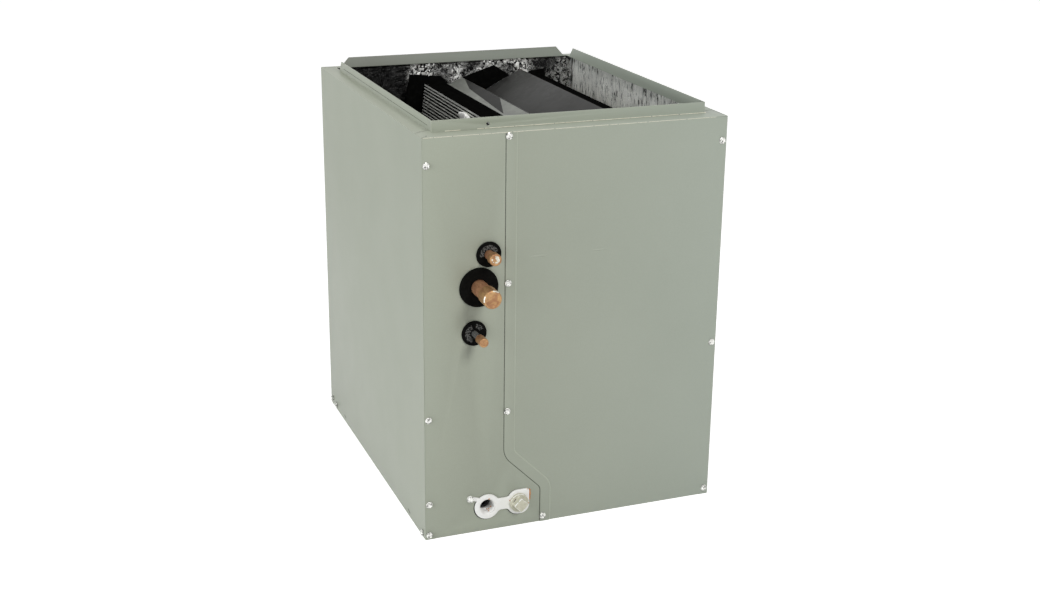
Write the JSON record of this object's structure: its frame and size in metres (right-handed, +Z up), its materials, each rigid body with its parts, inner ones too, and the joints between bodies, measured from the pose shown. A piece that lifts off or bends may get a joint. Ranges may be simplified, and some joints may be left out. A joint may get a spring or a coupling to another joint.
{
  "type": "cased evaporator coil",
  "caption": "Sheet-metal cabinet holding an A-shaped finned refrigerant coil over a drain pan, open to the ducts above and below, with line stubs and drain ports in front.",
  "frame": {"origin": "middle of the return opening, in the plane of the cabinet's bottom face", "axes": "+Z up through the coil in the direction of the air, -Y out of the panels that the lines and drains pass through, +X to the right seen from the front"},
  "size_m": [0.4508, 0.597, 0.5935],
  "materials": {
    "painted_steel": "satin grey-green enamel on sheet steel",
    "black_rubber": "matt moulded rubber",
    "copper": "drawn copper, dulled",
    "brass": "turned brass",
    "black_plastic": "moulded polymer",
    "white_plastic": "moulded, slightly rough",
    "beige_plastic": "moulded",
    "galvanised_steel": "galvanised, dull spangle",
    "aluminium_fins": "bare rolled foil edges",
    "dark_steel": "matt dark coated sheet",
    "foil": "crumpled foil facing",
    "zinc": "bright zinc"
  },
  "bodies": {
    "root": {"access_panel": "painted_steel", "apex_plate": "galvanised_steel", "casing_wrapper": "painted_steel", "distributor": "brass", "drain_pan": "black_plastic", "drain_plate_screw": "zinc", "drain_plug": "beige_plastic", "drain_port_plate": "white_plastic", "feeder_tubes": "copper", "fin_clip": "white_plastic", "front_bottom_rail": "painted_steel", "front_delta_plate": "dark_steel", "front_insulation": "foil", "front_top_rail": "painted_steel", "left_fin_pack": "aluminium_fins", "left_front_bends": "copper", "left_front_tube_sheet": "dark_steel", "left_insulation": "foil", "left_pan_rail": "galvanised_steel", "left_rear_bends": "copper", "left_rear_tube_sheet": "dark_steel", "left_top_strip": "dark_steel", "line_panel": "painted_steel", "liquid_grommet": "black_rubber", "liquid_stub": "copper", "panel_screws": "zinc", "rear_delta_plate": "dark_steel", "rear_insulation": "foil", "right_fin_pack": "aluminium_fins", "right_front_bends": "copper", "right_front_tube_sheet": "dark_steel", "right_insulation": "foil", "right_pan_rail": "galvanised_steel", "right_rear_bends": "copper", "right_rear_tube_sheet": "dark_steel", "right_top_strip": "dark_steel", "service_grommet": "black_rubber", "service_stub": "copper", "side_screws": "zinc", "suction_branches": "copper", "suction_grommet": "black_rubber", "suction_header": "copper", "suction_stub": "copper"}
  },
  "joints": []
}
